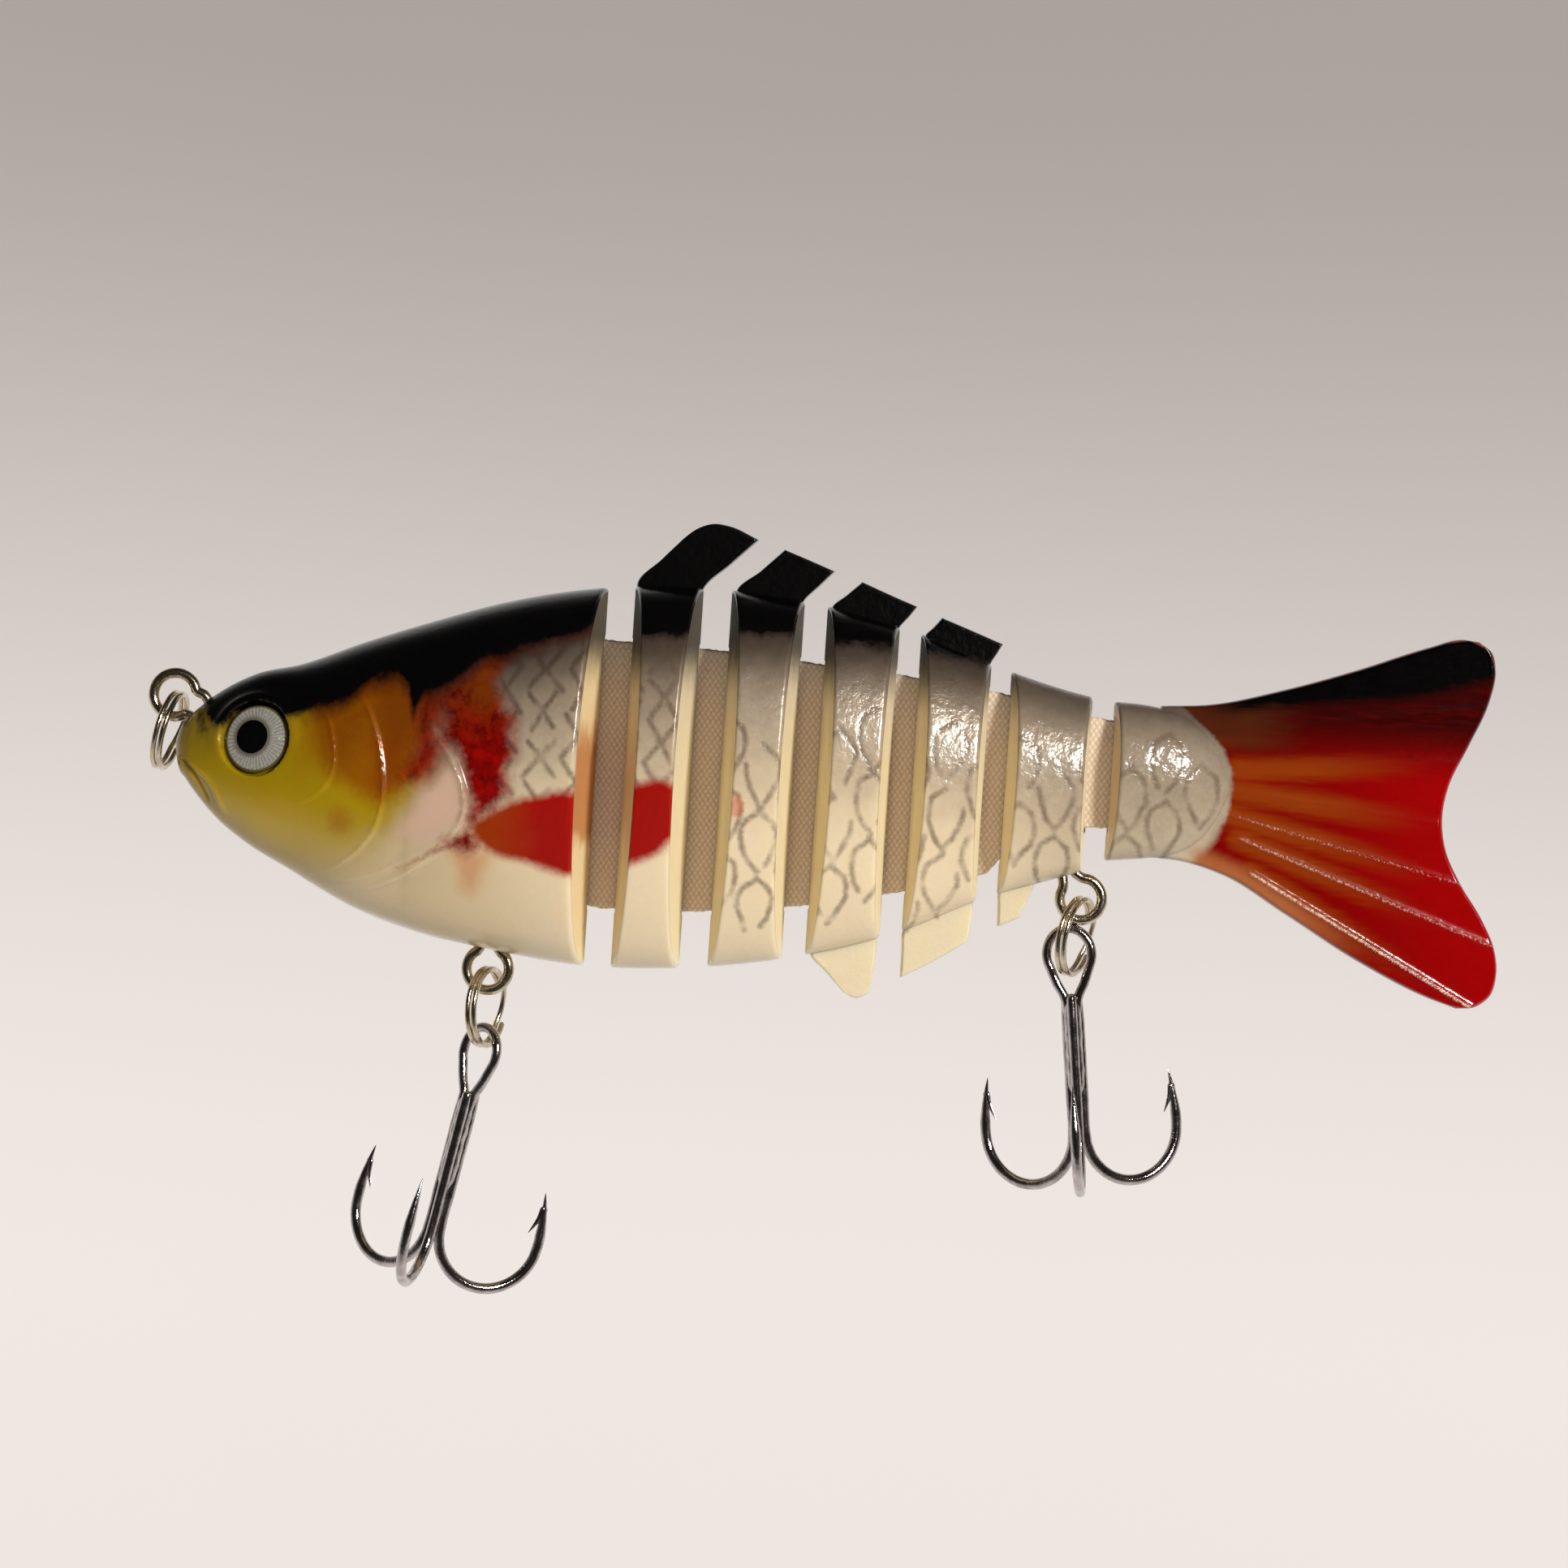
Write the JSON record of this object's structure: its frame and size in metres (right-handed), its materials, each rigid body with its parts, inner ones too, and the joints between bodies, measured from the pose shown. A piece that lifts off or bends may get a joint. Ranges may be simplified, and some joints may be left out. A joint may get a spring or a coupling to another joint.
{
  "type": "jointed swimbait",
  "caption": "Fish-shaped hard lure of hollow half shells on a woven hinge strip, with wire eyes, split rings and treble hooks.",
  "frame": {"origin": "centre of the line tie's loop at the nose, in the middle plane", "axes": "+X from nose to tail, +Z towards the back of the fish, the left flank faces -Y"},
  "size_m": [0.1031, 0.0171, 0.0595],
  "materials": {
    "head_shell": "painted translucent shell under gloss clear coat",
    "body_shell": "pearl translucent shell, dark back, gloss clear coat",
    "tail_shell": "translucent red with fine glitter, gloss",
    "woven_strip": "tan woven mesh",
    "nickel_wire": "polished nickel",
    "hook_wire": "black nickel",
    "eye_foil": "silver print with a black pupil",
    "eye_lens": "clear domed resin",
    "ballast_metal": "dull cast metal"
  },
  "bodies": {
    "head": {"head_shell_left": "head_shell", "head_shell_right": "head_shell", "head_ballast": "ballast_metal", "line_tie_wire": "nickel_wire", "belly_hanger_wire": "nickel_wire", "eye_disc_left": "eye_foil", "eye_disc_right": "eye_foil", "eye_dome_left": "eye_lens", "eye_dome_right": "eye_lens", "hinge_strip_head": "woven_strip"},
    "segment_2": {"segment_2_left": "body_shell", "segment_2_right": "body_shell", "hinge_strip_2": "woven_strip"},
    "segment_3": {"segment_3_left": "body_shell", "segment_3_right": "body_shell", "hinge_strip_3": "woven_strip"},
    "segment_4": {"segment_4_left": "body_shell", "segment_4_right": "body_shell", "hinge_strip_4": "woven_strip"},
    "segment_5": {"segment_5_left": "body_shell", "segment_5_right": "body_shell", "hinge_strip_5": "woven_strip"},
    "segment_6": {"segment_6_left": "body_shell", "segment_6_right": "body_shell", "hinge_strip_6": "woven_strip", "rear_hanger_wire": "nickel_wire"},
    "tail": {"tail_half_left": "tail_shell", "tail_half_right": "tail_shell", "hinge_strip_tail": "woven_strip"},
    "nose_ring": {"nose_split_ring": "nickel_wire"},
    "belly_ring": {"belly_split_ring": "nickel_wire"},
    "belly_hook": {"belly_treble_hook": "hook_wire"},
    "rear_ring": {"rear_split_ring": "nickel_wire"},
    "rear_hook": {"rear_treble_hook": "hook_wire"}
  },
  "joints": [
    {"name": "segment_2_bend", "type": "hinge", "parent": "head", "child": "segment_2", "pos_m": [0.0332, 0, 0], "axis": [0, 0, 1], "range_deg": [-25, 25]},
    {"name": "segment_3_bend", "type": "hinge", "parent": "segment_2", "child": "segment_3", "pos_m": [0.04045, 0, 0], "axis": [0, 0, 1], "range_deg": [-25, 25]},
    {"name": "segment_4_bend", "type": "hinge", "parent": "segment_3", "child": "segment_4", "pos_m": [0.04795, 0, 0], "axis": [0, 0, 1], "range_deg": [-25, 25]},
    {"name": "segment_5_bend", "type": "hinge", "parent": "segment_4", "child": "segment_5", "pos_m": [0.0552, 0, 0], "axis": [0, 0, 1], "range_deg": [-28, 28]},
    {"name": "segment_6_bend", "type": "hinge", "parent": "segment_5", "child": "segment_6", "pos_m": [0.06225, 0, 0], "axis": [0, 0, 1], "range_deg": [-30, 30]},
    {"name": "tail_bend", "type": "hinge", "parent": "segment_6", "child": "tail", "pos_m": [0.07013, 0, 0], "axis": [0, 0, 1], "range_deg": [-35, 35]},
    {"name": "nose_ring_swing", "type": "hinge", "parent": "head", "child": "nose_ring", "pos_m": [0.00035, 0, 0.0001], "axis": [0.1022, 0.9945, -0.0217], "range_deg": [-8, 120]},
    {"name": "belly_ring_swing", "type": "hinge", "parent": "head", "child": "belly_ring", "pos_m": [0.02505, 0, -0.01915], "axis": [0.342, 0.9397, 0], "range_deg": [-35, 60]},
    {"name": "rear_ring_swing", "type": "hinge", "parent": "segment_6", "child": "rear_ring", "pos_m": [0.0696, 0, -0.0109], "axis": [0.4185, 0.9063, -0.0588], "range_deg": [-55, 35]},
    {"name": "belly_hook_swing", "type": "hinge", "parent": "belly_ring", "child": "belly_hook", "pos_m": [0.02505, 0, -0.02489], "axis": [-0.752, 0.6428, 0.1462], "range_deg": [-40, 40]},
    {"name": "rear_hook_swing", "type": "hinge", "parent": "rear_ring", "child": "rear_hook", "pos_m": [0.0688, 0, -0.01658], "axis": [-0.9888, 0.0872, -0.1214], "range_deg": [-35, 35]}
  ]
}
